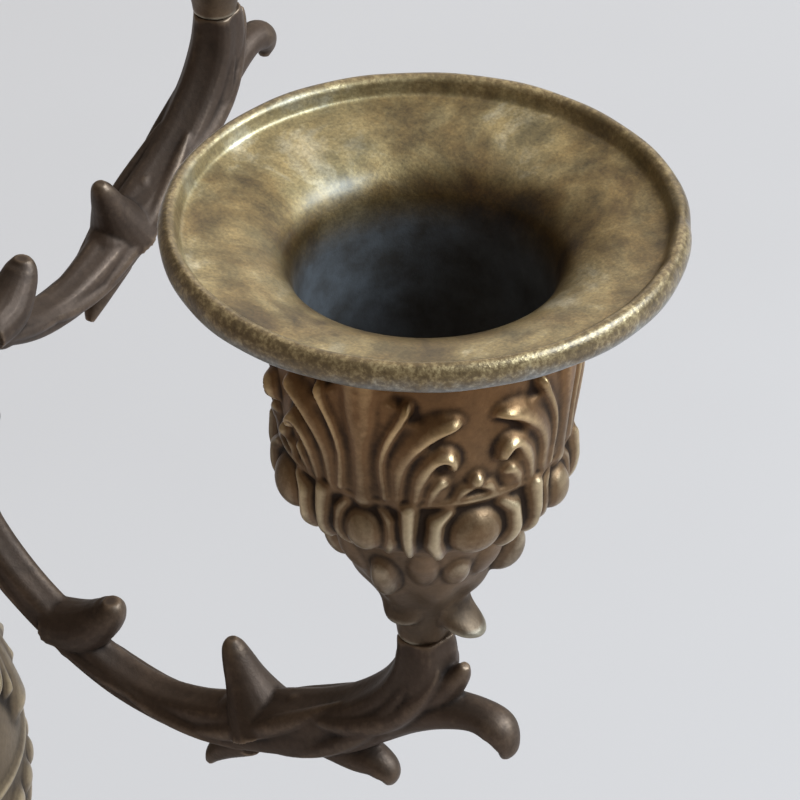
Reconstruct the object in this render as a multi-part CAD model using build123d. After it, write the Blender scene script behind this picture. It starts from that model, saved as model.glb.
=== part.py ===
"""Tabletop candelabra: a cast brass stem on a round base, four scroll arms and a raised centre light.

Millimetres, +Z up. The stem's axis is Z, and Z = 0 is the surface that the base stands on.
"""

from build123d import *
import os

os.makedirs("parts", exist_ok=True)

# Lights
ARM_REACH = 77.0  # stem axis to candle cup axis
SIDE_RIM_Z = 262.0  # mid-height of the rim bead of a side light
CENTRE_RIM_Z = 318.0  # the same on the centre light
CANDLE_R = 11.1  # bore for a standard 22 mm (7/8 in) candle
RIM_R = 23.0  # outside of the drip pan's rim bead
BEAD_HALF_HEIGHT = 1.45
SHANK_R = 11.7  # outside of the tube that drops into the cup
SHANK_CLEARANCE = 0.08
SHANK_END = -24.8  # heights of a light's own features are below its rim plane
PAN_SEAT = -4.6
CUP_FLOOR = -25.4
CUP_POCKET_R = 5.0
CUP_POCKET_FLOOR = -31.0
CUP_FOOT = -44.5
CUP_WALL_R = 13.1

# Cup stud, its nut and its washer
STUD_R = 1.5
STUD_HOLE_R = 1.6
STUD_END = -27.7
CUP_NUT_FLATS = 5.5
CUP_NUT_HEIGHT = 2.4
CUP_WASHER_R = 3.6
CUP_WASHER_THICKNESS = 0.5

# Arms
ARM_R = 2.0
NECK_R = 2.35
SHEATH_R = 3.3  # the thick leafy stretch below the cup
SHEATH_SPAN = (0.12, 0.62)  # the shares of the outer large arc that it runs between
SHEATH_TAPER = 6.0
CUP_BEND_R = 8.0
LOW_POINT_REACH = 44.5
LOW_POINT_Z = 197.0
CUP_BEND_Z = 214.0
RISER_REACH = 24.4
RISER_Z = 212.3
INNER_BEND_R = 12.0
ARCH_Z = 226.0
ARCH_R = 7.0
ARCH_TURN = 115.0
SOCKET_BEND_R = 6.0
TENON_END_REACH = 6.6

# Stem
ROD_R = 3.0
ROD_HOLE_R = 3.15
ROD_FOOT_Z = 21.0
ROD_TOP_Z = 262.0
ROD_NUT_FLATS = 10.0
ROD_NUT_HEIGHT = 5.0
ROD_WASHER_R = 9.0
ROD_WASHER_THICKNESS = 1.5
BASE_R = 58.0
FELT_R = 54.0
FELT_THICKNESS = 1.0
BASE_TOP_Z = 36.0
BASE_LAND_Z = 31.0  # underside of the land that the rod's nut pulls on
COLLAR_TOP_Z = 42.0
KNOP_TOP_Z = 64.0
BALUSTER_TOP_Z = 132.0
VASE_FOOT_TOP_Z = 142.0
VASE_R = 24.3
VASE_WALL = 3.0
VASE_WIDEST_Z = 161.5
VASE_TOP_Z = 190.0
NECK_TOP_Z = 216.0
HUB_FOOT_Z = 221.0
HUB_TOP_Z = 241.0
HUB_R = 12.0
HUB_CAP_TOP_Z = 252.0
SET_SCREW_R = 1.2
SET_SCREW_REACH = 7.9
HOLE_CLEARANCE = 0.05

SIDES = {"right": 0, "back": 90, "left": 180, "front": 270}
CUP_FOOT_Z = SIDE_RIM_Z + CUP_FOOT


def turned(start, *steps):
    """A solid turned about Z. A step is a point (radius, z), or a pair (through, end) for an arc."""
    edges = []
    here = start
    for step in (*steps, start):
        if isinstance(step[0], tuple):
            through, end = step
            edges.append(ThreePointArc(*((radius, 0, z) for radius, z in (here, through, end))))
        else:
            end = step
            edges.append(Line(*((radius, 0, z) for radius, z in (here, end))))
        here = end
    return revolve(Face(Wire(edges)), Axis.Z)


def upright(radius, low, high, bore=0.0):
    """A plain round bar or ring on the Z axis."""
    bar = Pos(0, 0, low) * Cylinder(radius, high - low, align=(Align.CENTER, Align.CENTER, Align.MIN))
    if bore:
        bar -= Pos(0, 0, low) * Cylinder(bore, high - low, align=(Align.CENTER, Align.CENTER, Align.MIN))
    return bar


def hex_nut(flats, height, bore, low):
    """A hexagon nut on the Z axis with its lower face at low."""
    body = extrude(RegularPolygon(flats / 2, 6, major_radius=False), height)
    body -= Cylinder(bore, height, align=(Align.CENTER, Align.CENTER, Align.MIN))
    return Pos(0, 0, low) * body


def spike(root, tip, root_r, tip_r):
    """A tapered thorn between two points (reach, z) of an arm's plane."""
    low = Vector(root[0], 0, root[1])
    high = Vector(tip[0], 0, tip[1])
    way = high - low
    return Solid.make_cone(root_r, tip_r, way.length, Plane(origin=low, z_dir=way))


def arm_path():
    """The arm's centre line in its own plane, x = reach and y = height, from the cup inwards.

    Each dip from a vertical run to the low point is two tangent arcs, a small one of radius r
    beside the vertical run and a large one through the low point.
    """

    def dip(across, down, small_r):
        large_r = (across**2 + down**2 - 2 * across * small_r) / (2 * (down - small_r))
        turn = Vector(across - small_r, large_r - down).get_angle(Vector(1, 0))
        return large_r, turn

    outer_r, outer_turn = dip(ARM_REACH - LOW_POINT_REACH, CUP_BEND_Z - LOW_POINT_Z, CUP_BEND_R)
    inner_r, inner_turn = dip(LOW_POINT_REACH - RISER_REACH, RISER_Z - LOW_POINT_Z, INNER_BEND_R)
    neck = Line((ARM_REACH, CUP_FOOT_Z - 0.5), (ARM_REACH, CUP_BEND_Z))
    bends = [neck]
    for radius, turn in (
        (CUP_BEND_R, -outer_turn),
        (outer_r, outer_turn - 90),
        (inner_r, inner_turn - 90),
        (INNER_BEND_R, -inner_turn),
    ):
        bends.append(JernArc(bends[-1] @ 1, bends[-1] % 1, radius, turn))
    bends.append(Line(bends[-1] @ 1, (RISER_REACH, ARCH_Z)))
    bends.append(JernArc(bends[-1] @ 1, bends[-1] % 1, ARCH_R, ARCH_TURN))
    bends.append(JernArc(bends[-1] @ 1, bends[-1] % 1, SOCKET_BEND_R, 90 - ARCH_TURN))
    socket = bends[-1] @ 1
    bends.append(Line(socket, (TENON_END_REACH, socket.Y)))
    return bends, socket.Y


ARM_BENDS, TENON_Z = arm_path()


def tube(edges, radius):
    """A round bar along edges drawn in an arm's plane."""
    path = Wire(edges)
    section = Plane(origin=path @ 0, z_dir=path % 0) * Circle(radius)
    return Plane.XZ * sweep(section, path=path)


def arm():
    """A scroll arm with its cup stud, thorns, leaf tails and hub tenon, reaching along +X."""
    low_bend = ARM_BENDS[2]
    body = tube(ARM_BENDS, ARM_R)
    body += tube([low_bend.trim(*SHEATH_SPAN)], SHEATH_R)
    for share, way in zip(SHEATH_SPAN, (-1, 1)):
        point = low_bend @ share
        far = point + low_bend % share * way * SHEATH_TAPER
        body += spike((point.X, point.Y), (far.X, far.Y), SHEATH_R, ARM_R - 0.2)
    thorns = [
        ((41.0, 197.6), (39.6, 206.3), 1.9, 0.4),
        ((58.0, 200.5), (55.0, 207.4), 2.2, 0.4),
        ((56.0, 199.0), (53.0, 191.8), 2.0, 0.4),
        ((72.0, 204.5), (73.4, 199.0), 1.9, 0.5),
        ((76.5, 211.0), (85.5, 209.5), 2.2, 0.5),
        ((24.4, 222.0), (29.6, 228.5), 1.8, 0.4),
    ]
    for root, tip, root_r, tip_r in thorns:
        body += spike(root, tip, root_r, tip_r)
    body += Pos(ARM_REACH, 0, 0) * upright(NECK_R, CUP_BEND_Z, CUP_FOOT_Z)
    body += Pos(ARM_REACH, 0, 0) * upright(STUD_R, CUP_FOOT_Z - 1, SIDE_RIM_Z + STUD_END)
    return body


def cup():
    """A candle cup, drawn with its light's rim plane at Z = 0."""
    bore = SHANK_R + SHANK_CLEARANCE
    return turned(
        (bore, PAN_SEAT),
        (CUP_WALL_R, PAN_SEAT),
        ((12.9, -13.0), (12.6, -20.0)),
        ((13.8, -23.2), (12.6, -26.4)),
        ((10.6, -28.9), (9.3, -31.6)),
        ((6.9, -35.4), (4.3, -38.8)),
        ((3.0, -41.5), (NECK_R, CUP_FOOT)),
        (STUD_HOLE_R, CUP_FOOT),
        (STUD_HOLE_R, CUP_POCKET_FLOOR),
        (CUP_POCKET_R, CUP_POCKET_FLOOR),
        (CUP_POCKET_R, CUP_FLOOR),
        (bore, CUP_FLOOR),
    )


def bobeche():
    """A lift-out drip pan and candle tube, drawn with its rim plane at Z = 0."""
    bead_inner_r = RIM_R - 1.7
    return turned(
        (CANDLE_R, SHANK_END),
        (SHANK_R, SHANK_END),
        (SHANK_R, PAN_SEAT),
        (CUP_WALL_R, PAN_SEAT),
        ((16.6, -2.4), (bead_inner_r, -BEAD_HALF_HEIGHT)),
        ((RIM_R, 0), (bead_inner_r, BEAD_HALF_HEIGHT)),
        (bead_inner_r - 0.2, -0.35),
        ((16.4, -1.05), (13.2, -2.6)),
        ((11.7, -4.6), (CANDLE_R, -8.0)),
    )


def cup_washer():
    """The washer in a cup's pocket, with the rim plane at Z = 0."""
    return upright(CUP_WASHER_R, CUP_POCKET_FLOOR, CUP_POCKET_FLOOR + CUP_WASHER_THICKNESS, STUD_HOLE_R)


def cup_nut():
    """The nut on a cup's stud, with the rim plane at Z = 0."""
    low = CUP_POCKET_FLOOR + CUP_WASHER_THICKNESS
    return hex_nut(CUP_NUT_FLATS, CUP_NUT_HEIGHT, STUD_R + HOLE_CLEARANCE, low)


def branch_hub():
    """The hub that holds the four arm tenons, each under its own set screw."""
    hub = turned(
        (ROD_HOLE_R, HUB_FOOT_Z),
        (8.5, HUB_FOOT_Z),
        ((10.7, 223.6), (HUB_R, 227.0)),
        (HUB_R, 237.0),
        ((11.5, 239.8), (10.2, HUB_TOP_Z)),
        (ROD_HOLE_R, HUB_TOP_Z),
    )
    socket = Pos(TENON_END_REACH - 0.2, 0, TENON_Z) * Rot(0, 90, 0) * Cylinder(
        ARM_R + HOLE_CLEARANCE, HUB_R, align=(Align.CENTER, Align.CENTER, Align.MIN)
    )
    screw_hole = Pos(SET_SCREW_REACH, 0, 0) * upright(SET_SCREW_R + HOLE_CLEARANCE, TENON_Z, HUB_TOP_Z)
    for angle in SIDES.values():
        hub -= Rot(0, 0, angle) * socket
        hub -= Rot(0, 0, angle) * screw_hole
    return hub


def base_casting():
    """The hollow domed base."""
    return turned(
        (ROD_HOLE_R, BASE_TOP_Z),
        (ROD_HOLE_R, BASE_LAND_Z),
        (13.0, BASE_LAND_Z),
        ((31.0, 16.5), (43.0, 7.5)),
        ((49.0, 5.0), (55.0, FELT_THICKNESS)),
        (BASE_R - 1, FELT_THICKNESS),
        ((BASE_R, 2.6), (BASE_R - 1.2, 4.2)),
        (54.5, 5.2),
        ((50.6, 8.6), (46.5, 9.4)),
        ((34.0, 19.0), (17.0, 30.0)),
        ((14.4, 32.4), (13.5, BASE_TOP_Z)),
    )


def vase_body():
    """The hollow vase below the arms."""
    shell = turned(
        (ROD_HOLE_R, VASE_FOOT_TOP_Z),
        (9.5, VASE_FOOT_TOP_Z),
        ((20.2, 148.5), (VASE_R, VASE_WIDEST_Z)),
        ((23.6, 171.5), (21.4, 180.0)),
        ((17.4, 186.4), (10.5, VASE_TOP_Z)),
        (ROD_HOLE_R, VASE_TOP_Z),
    )
    hollow = turned(
        (ROD_HOLE_R + 2, VASE_FOOT_TOP_Z + VASE_WALL),
        (9.0, VASE_FOOT_TOP_Z + VASE_WALL),
        ((18.0, 150.9), (VASE_R - VASE_WALL, VASE_WIDEST_Z)),
        ((20.7, 171.0), (18.6, 178.9)),
        ((15.6, 183.4), (10.5, VASE_TOP_Z - VASE_WALL)),
        (ROD_HOLE_R + 2, VASE_TOP_Z - VASE_WALL),
    )
    return shell - hollow


def centre_column():
    """The short column on top of the rod, with the centre cup's stud."""
    foot = CENTRE_RIM_Z + CUP_FOOT
    return turned(
        (ROD_R + HOLE_CLEARANCE, HUB_CAP_TOP_Z),
        (5.8, HUB_CAP_TOP_Z),
        ((6.9, 257.0), (5.4, 263.0)),
        ((3.3, 268.0), (NECK_R, foot)),
        (STUD_R, foot),
        (STUD_R, CENTRE_RIM_Z + STUD_END),
        (0, CENTRE_RIM_Z + STUD_END),
        (0, ROD_TOP_Z + 0.5),
        (ROD_R + HOLE_CLEARANCE, ROD_TOP_Z + 0.5),
    )


def stem_nodes():
    """Every node on the stem's own axis."""
    nut_low = BASE_LAND_Z - ROD_WASHER_THICKNESS - ROD_NUT_HEIGHT
    return {
        "base_felt": upright(FELT_R, 0, FELT_THICKNESS),
        "base_casting": base_casting(),
        "base_ballast": turned(
            (12.0, FELT_THICKNESS),
            (52.0, FELT_THICKNESS),
            ((48.0, 3.8), (42.2, 6.2)),
            ((30.2, 15.4), (12.6, 27.0)),
            (12.0, 27.0),
        ),
        "rod_washer": upright(ROD_WASHER_R, BASE_LAND_Z - ROD_WASHER_THICKNESS, BASE_LAND_Z, ROD_HOLE_R),
        "rod_nut": hex_nut(ROD_NUT_FLATS, ROD_NUT_HEIGHT, ROD_R + HOLE_CLEARANCE, nut_low),
        "tie_rod": upright(ROD_R, ROD_FOOT_Z, ROD_TOP_Z),
        "base_collar": turned(
            (ROD_HOLE_R, BASE_TOP_Z),
            (12.5, BASE_TOP_Z),
            ((14.3, 38.2), (12.5, 40.4)),
            (9.5, COLLAR_TOP_Z),
            (ROD_HOLE_R, COLLAR_TOP_Z),
        ),
        "lower_knop": turned(
            (ROD_HOLE_R, COLLAR_TOP_Z),
            (8.5, COLLAR_TOP_Z),
            ((16.0, 51.0), (9.5, 60.5)),
            ((7.8, 62.0), (8.0, KNOP_TOP_Z)),
            (ROD_HOLE_R, KNOP_TOP_Z),
        ),
        "stem_baluster": turned(
            (ROD_HOLE_R, KNOP_TOP_Z),
            (9.8, KNOP_TOP_Z),
            (9.8, KNOP_TOP_Z + 2.5),
            ((6.3, 80.0), (8.0, 96.0)),
            ((14.0, 116.0), (8.2, 128.5)),
            (10.2, 129.8),
            (10.2, BALUSTER_TOP_Z),
            (ROD_HOLE_R, BALUSTER_TOP_Z),
        ),
        "vase_foot": turned(
            (ROD_HOLE_R, BALUSTER_TOP_Z),
            (11.5, BALUSTER_TOP_Z),
            (11.5, BALUSTER_TOP_Z + 2.5),
            ((8.2, 137.6), (9.5, VASE_FOOT_TOP_Z)),
            (ROD_HOLE_R, VASE_FOOT_TOP_Z),
        ),
        "vase_body": vase_body(),
        "vase_neck": turned(
            (ROD_HOLE_R, VASE_TOP_Z),
            (10.5, VASE_TOP_Z),
            (10.5, VASE_TOP_Z + 2),
            ((6.4, 203.0), (9.0, NECK_TOP_Z - 2)),
            (9.0, NECK_TOP_Z),
            (ROD_HOLE_R, NECK_TOP_Z),
        ),
        "hub_collar": turned(
            (ROD_HOLE_R, NECK_TOP_Z),
            (11.0, NECK_TOP_Z),
            ((12.8, 218.5), (11.0, HUB_FOOT_Z)),
            (ROD_HOLE_R, HUB_FOOT_Z),
        ),
        "branch_hub": branch_hub(),
        "hub_cap": turned(
            (ROD_HOLE_R, HUB_TOP_Z),
            (11.2, HUB_TOP_Z),
            (11.2, HUB_TOP_Z + 2),
            ((9.6, 248.6), (6.0, HUB_CAP_TOP_Z)),
            (ROD_HOLE_R, HUB_CAP_TOP_Z),
        ),
        "centre_column": centre_column(),
    }


def light_places():
    """Where each light's rim centre is: name to a location."""
    places = {name: Rot(0, 0, angle) * Pos(ARM_REACH, 0, SIDE_RIM_Z) for name, angle in SIDES.items()}
    places["centre"] = Pos(0, 0, CENTRE_RIM_Z)
    return places


nodes = stem_nodes()
one_arm = arm()
one_screw = Pos(SET_SCREW_REACH, 0, 0) * upright(SET_SCREW_R, TENON_Z + ARM_R, HUB_TOP_Z - 0.5)
set_screws = []
for side, angle in SIDES.items():
    nodes["arm_" + side] = Rot(0, 0, angle) * one_arm
    set_screws.append(Rot(0, 0, angle) * one_screw)
nodes["arm_set_screws"] = Compound(children=set_screws)

washers = []
nuts = []
for light, place in light_places().items():
    nodes["cup_" + light] = place * cup()
    nodes["bobeche_" + light] = place * bobeche()
    washers.append(place * cup_washer())
    nuts.append(place * cup_nut())
nodes["cup_washers"] = Compound(children=washers)
nodes["cup_nuts"] = Compound(children=nuts)

for name, shape in nodes.items():
    export_step(shape, "parts/" + name + ".step")
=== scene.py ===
import math

import bpy
import numpy as np
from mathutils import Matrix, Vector


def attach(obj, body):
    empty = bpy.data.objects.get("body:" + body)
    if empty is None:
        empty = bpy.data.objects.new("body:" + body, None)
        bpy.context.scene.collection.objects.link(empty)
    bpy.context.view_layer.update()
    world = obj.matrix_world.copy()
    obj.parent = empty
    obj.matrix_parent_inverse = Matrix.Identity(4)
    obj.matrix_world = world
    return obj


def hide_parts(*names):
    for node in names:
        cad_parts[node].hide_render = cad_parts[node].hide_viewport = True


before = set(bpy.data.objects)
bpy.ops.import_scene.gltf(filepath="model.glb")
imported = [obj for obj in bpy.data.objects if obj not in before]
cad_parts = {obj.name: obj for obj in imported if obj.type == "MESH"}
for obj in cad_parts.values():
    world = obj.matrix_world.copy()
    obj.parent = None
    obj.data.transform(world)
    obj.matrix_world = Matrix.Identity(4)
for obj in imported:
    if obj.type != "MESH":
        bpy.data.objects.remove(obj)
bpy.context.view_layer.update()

# All shapes are worked out in millimetres in the CAD model's frame, and scaled to metres in the mesh.
MM = 0.001

# the arms: their directions in degrees, their cups' distance from the stem, and their tenons' height
SIDES = {"right": 0, "back": 90, "left": 180, "front": 270}
ARM_REACH = 77.0
TENON_Z = 231.8
# heights of the drip pans' rim planes
SIDE_RIM_Z = 262.0
CENTRE_RIM_Z = 318.0
# radii and levels within one light, measured from its rim plane
RIM_R = 23.0
CANDLE_R = 11.1
SHANK_R = 11.7
SEAT = -4.7
SHANK_END = -24.8
CUP_TOP = -4.65
CUP_BORE_R = 11.8
CUP_FLOOR = -25.4
POCKET_R = 5.0
POCKET_FLOOR = -31.0
STUD_HOLE_R = 1.6
CUP_FOOT = -44.5
# the hole round the tie rod in each stem piece, and its chamfer
ROD_HOLE_R = 3.15
CHAMFER = 0.3
HOLE_EDGE_R = ROD_HOLE_R + CHAMFER
# the gap between two of the cup's leaves, in degrees from the arm's outward direction
LEAF_GAP_ANGLE = -36.0
# point spacings along the outlines and the arm
PAN_STEP = 0.22
CUP_STEP = 0.19
POCKET_STEP = 1.0
ARM_STEP = 0.35
FELT_STEP = 0.6
HIDDEN_STEP = 2.0


# ---- curves and outlines

def spline(points, step):
    """Points about step apart along a smooth curve through the given ones.

    Rows are (x, y), (x, y, extra) or (x, y, z, extra), and the extra value runs smoothly along too.
    """
    points = np.asarray(points, float)
    if len(points) < 3:
        count = max(2, int(np.linalg.norm(points[-1] - points[0]) / step) + 1)
        return points[0] + np.linspace(0, 1, count)[:, None] * (points[-1] - points[0])
    axes = 3 if points.shape[1] > 3 else 2
    chords = np.sqrt(np.linalg.norm(np.diff(points[:, :axes], axis=0), axis=1) + 1e-9)
    knots = np.concatenate([[0], np.cumsum(chords)])
    slopes = np.empty_like(points)
    for i in range(len(points)):
        low, high = max(i - 1, 0), min(i + 1, len(points) - 1)
        slopes[i] = (points[high] - points[low]) / (knots[high] - knots[low])
    pieces = []
    for i in range(len(points) - 1):
        width = knots[i + 1] - knots[i]
        length = np.linalg.norm(points[i + 1][:3] - points[i][:3])
        t = np.linspace(0, 1, max(2, int(length / step) + 1), endpoint=False)[:, None]
        pieces.append(
            (2 * t**3 - 3 * t**2 + 1) * points[i]
            + (t**3 - 2 * t**2 + t) * width * slopes[i]
            + (3 * t**2 - 2 * t**3) * points[i + 1]
            + (t**3 - t**2) * width * slopes[i + 1]
        )
    return np.vstack(pieces + [points[-1:]])


def outline(step, *stretches):
    """A closed outline (radius, z): each stretch is a list of points that a smooth curve runs through."""
    runs = [spline(stretch, step) for stretch in stretches]
    loop = [runs[0]]
    for run in runs[1:]:
        loop.append(run[1:] if np.allclose(run[0], loop[-1][-1]) else run)
    loop = np.vstack(loop)
    if np.allclose(loop[0], loop[-1]):
        loop = loop[:-1]
    return loop


def rise(value, start, span=1.0):
    """0 up to start, then rising evenly to 1 at start + span."""
    return np.clip((value - start) / span, 0, 1)


def soften(grid, rounds):
    """Averages each cell of a height grid with its neighbours; columns wrap round, rows don't."""
    for _ in range(rounds):
        wide = (np.roll(grid, 1, 1) + 2 * grid + np.roll(grid, -1, 1)) / 4
        up = np.vstack([wide[:1], wide[:-1]])
        down = np.vstack([wide[1:], wide[-1:]])
        grid = (up + 2 * wide + down) / 4
    return grid


# ---- meshes

def new_object(name, data):
    """An object in the scene."""
    thing = bpy.data.objects.new(name, data)
    bpy.context.scene.collection.objects.link(thing)
    return thing


def new_mesh(name, points, faces, smooth=True):
    """A mesh object, from points in millimetres."""
    mesh = bpy.data.meshes.new(name)
    mesh.from_pydata(np.asarray(points, float) * MM, [], faces)
    mesh.polygons.foreach_set("use_smooth", np.full(len(mesh.polygons), smooth))
    mesh.update()
    return new_object(name, mesh)


def ring_faces(rows, columns, close_rows):
    """Quads of a grid whose columns wrap round, and whose rows do too if close_rows."""
    row = np.arange(rows if close_rows else rows - 1)[:, None]
    column = np.arange(columns)[None, :]
    here = row * columns + column
    beside = row * columns + (column + 1) % columns
    above = (row + 1) % rows * columns + column
    corner = (row + 1) % rows * columns + (column + 1) % columns
    return np.stack([here, beside, corner, above], -1).reshape(-1, 4)


def lathe(name, loop, columns, relief=None):
    """A turned piece from a closed outline. relief(angle, radius, z) pushes its surface outward, in mm."""
    ahead = np.roll(loop, -1, 0) - np.roll(loop, 1, 0)
    ahead /= np.linalg.norm(ahead, axis=1)[:, None] + 1e-12
    area = 0.5 * np.sum(loop[:, 0] * np.roll(loop[:, 1], -1) - np.roll(loop[:, 0], -1) * loop[:, 1])
    outward = np.stack([ahead[:, 1], -ahead[:, 0]], 1) * np.sign(area)
    angle = np.linspace(0, 2 * math.pi, columns, endpoint=False)[None, :]
    radius, z = loop[:, :1], loop[:, 1:]
    height = np.zeros((len(loop), columns))
    if relief:
        height = height + relief(angle, radius, z)
    radius = radius + height * outward[:, :1]
    z = z + height * outward[:, 1:]
    points = np.stack([radius * np.cos(angle), radius * np.sin(angle), z], -1).reshape(-1, 3)
    faces = ring_faces(len(loop), columns, True)
    if area < 0:
        faces = faces[:, ::-1]
    return new_mesh(name, points, faces.tolist())


def limb(path, sides=20, squeeze=1.0, across=(0, 1, 0), flutes=0, flute_depth=0.0):
    """Points and faces of a closed tapering tube along rows of (x, y, z, radius).

    squeeze flattens or widens it along the across direction. flutes is the number of ridges that run
    along it, and flute_depth their height as a share of the radius.
    """
    path = np.asarray(path, float)
    middle, radius = path[:, :3], path[:, 3]
    ahead = np.gradient(middle, axis=0)
    ahead /= np.linalg.norm(ahead, axis=1)[:, None]
    side = np.array(across, float) - ahead * (ahead @ np.array(across, float))[:, None]
    side /= np.linalg.norm(side, axis=1)[:, None]
    up = np.cross(ahead, side)
    angle = np.linspace(0, 2 * math.pi, sides, endpoint=False)
    rim = 1 + flute_depth * np.cos(flutes * angle)
    rings = (
        middle[:, None]
        + side[:, None] * (radius[:, None] * squeeze * (rim * np.cos(angle)))[..., None]
        + up[:, None] * (radius[:, None] * (rim * np.sin(angle)))[..., None]
    )
    points = np.vstack([rings.reshape(-1, 3), middle[:1], middle[-1:]])
    faces = ring_faces(len(path), sides, False).tolist()
    first, last = len(points) - 2, len(points) - 1
    base = (len(path) - 1) * sides
    for i in range(sides):
        beside = (i + 1) % sides
        faces.append([first, beside, i])
        faces.append([last, base + i, base + beside])
    return points, faces


def ball(centre, radii, rings=10, sides=16):
    """Points and faces of an ellipsoid."""
    points = [[0, 0, -1]]
    for i in range(1, rings):
        lean = math.pi * i / rings
        for j in range(sides):
            turn = 2 * math.pi * j / sides
            flat = math.sin(lean)
            points.append([flat * math.cos(turn), flat * math.sin(turn), -math.cos(lean)])
    points.append([0, 0, 1])
    points = np.array(points) * np.array(radii) + np.array(centre)
    faces = (ring_faces(rings - 1, sides, False) + 1).tolist()
    top = len(points) - 1
    start = top - sides
    for i in range(sides):
        beside = (i + 1) % sides
        faces.append([0, 1 + beside, 1 + i])
        faces.append([top, start + i, start + beside])
    return points, faces


def cast(name, shells, voxel, rounds):
    """One casting from overlapping closed shells: they are fused by a voxel remesh and softened."""
    points, faces, offset = [], [], 0
    for shell_points, shell_faces in shells:
        points.append(shell_points)
        faces += [[index + offset for index in face] for face in shell_faces]
        offset += len(shell_points)
    mesh = bpy.data.meshes.new(name + "_shells")
    mesh.from_pydata(np.vstack(points), [], faces)
    rough = new_object(name + "_shells", mesh)
    remesh = rough.modifiers.new("fuse", "REMESH")
    remesh.mode = "VOXEL"
    remesh.voxel_size = voxel
    smooth = rough.modifiers.new("soften", "SMOOTH")
    smooth.factor = 0.5
    smooth.iterations = rounds
    shape = bpy.data.meshes.new_from_object(rough.evaluated_get(bpy.context.evaluated_depsgraph_get()))
    bpy.data.objects.remove(rough)
    bpy.data.meshes.remove(mesh)
    coords = np.empty(len(shape.vertices) * 3)
    shape.vertices.foreach_get("co", coords)
    shape.vertices.foreach_set("co", coords * MM)
    shape.polygons.foreach_set("use_smooth", np.full(len(shape.polygons), True))
    shape.name = name
    shape.update()
    return new_object(name, shape)


def mark_wear(mesh, rounds=14, reach=0.25):
    """Stores how proud each vertex stands of its surroundings, 0 in a crevice to 1 on a ridge, as 'wear'.

    The surroundings are the mesh after some rounds of averaging, and 1 is reach mm above them.
    """
    count = len(mesh.vertices)
    coords = np.empty(count * 3)
    mesh.vertices.foreach_get("co", coords)
    coords = coords.reshape(-1, 3) / MM
    normals = np.empty(count * 3)
    mesh.vertex_normals.foreach_get("vector", normals)
    normals = normals.reshape(-1, 3)
    edges = np.empty(len(mesh.edges) * 2, int)
    mesh.edges.foreach_get("vertices", edges)
    edges = edges.reshape(-1, 2)
    degree = np.bincount(edges.ravel(), minlength=count)[:, None] + 1.0
    smooth = coords.copy()
    for _ in range(rounds):
        total = smooth.copy()
        for axis in range(3):
            total[:, axis] += np.bincount(edges[:, 0], smooth[edges[:, 1], axis], count)
            total[:, axis] += np.bincount(edges[:, 1], smooth[edges[:, 0], axis], count)
        smooth = total / degree
    proud = np.einsum("ij,ij->i", coords - smooth, normals) / reach
    wear = mesh.attributes.new("wear", "FLOAT", "POINT")
    wear.data.foreach_set("value", np.clip(0.5 + 0.5 * proud, 0, 1))


# ---- relief

def stroke(x, y, path, left, right, height, power=1.0):
    """Height of one raised stroke on the grid (x, y), in mm.

    path rows are (x, y, share of the full width, share of the full height). The stroke falls off
    over the distance left on its left-hand side, looking along the path, and right on the other.
    """
    best = np.zeros(np.broadcast(x, y).shape)
    for start, end in zip(path[:-1], path[1:]):
        way = np.array(end[:2]) - np.array(start[:2])
        length2 = max(way @ way, 1e-9)
        dx, dy = x - start[0], y - start[1]
        along = np.clip((dx * way[0] + dy * way[1]) / length2, 0, 1)
        away = np.hypot(dx - along * way[0], dy - along * way[1])
        on_left = way[0] * dy - way[1] * dx > 0
        width = np.where(on_left, left, right) * (start[2] + along * (end[2] - start[2]))
        top = height * (start[3] + along * (end[3] - start[3]))
        best = np.maximum(best, top * np.clip(1 - (away / width) ** 2, 0, 1) ** power)
    return best


def bump(x, y, centre, half_sizes, height, power=0.5):
    """A domed boss on the grid (x, y), in mm."""
    q = ((x - centre[0]) / half_sizes[0]) ** 2 + ((y - centre[1]) / half_sizes[1]) ** 2
    return height * np.clip(1 - q, 0, 1) ** power


def loop_band(x, y, centre, half_sizes, half_width, height):
    """A raised oval ring on the grid (x, y), in mm."""
    q = np.sqrt(((x - centre[0]) / half_sizes[0]) ** 2 + ((y - centre[1]) / half_sizes[1]) ** 2)
    away = np.abs(q - 1) * min(half_sizes)
    return height * np.clip(1 - (away / half_width) ** 2, 0, 1)


def folded(angle, count, start=0.0):
    """Share of the way from the middle of the nearest of count repeats (0) to the gap beside it (1)."""
    turn = (np.degrees(angle) - start) * count / 360.0
    return np.abs((turn - np.round(turn)) * 2)


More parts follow.
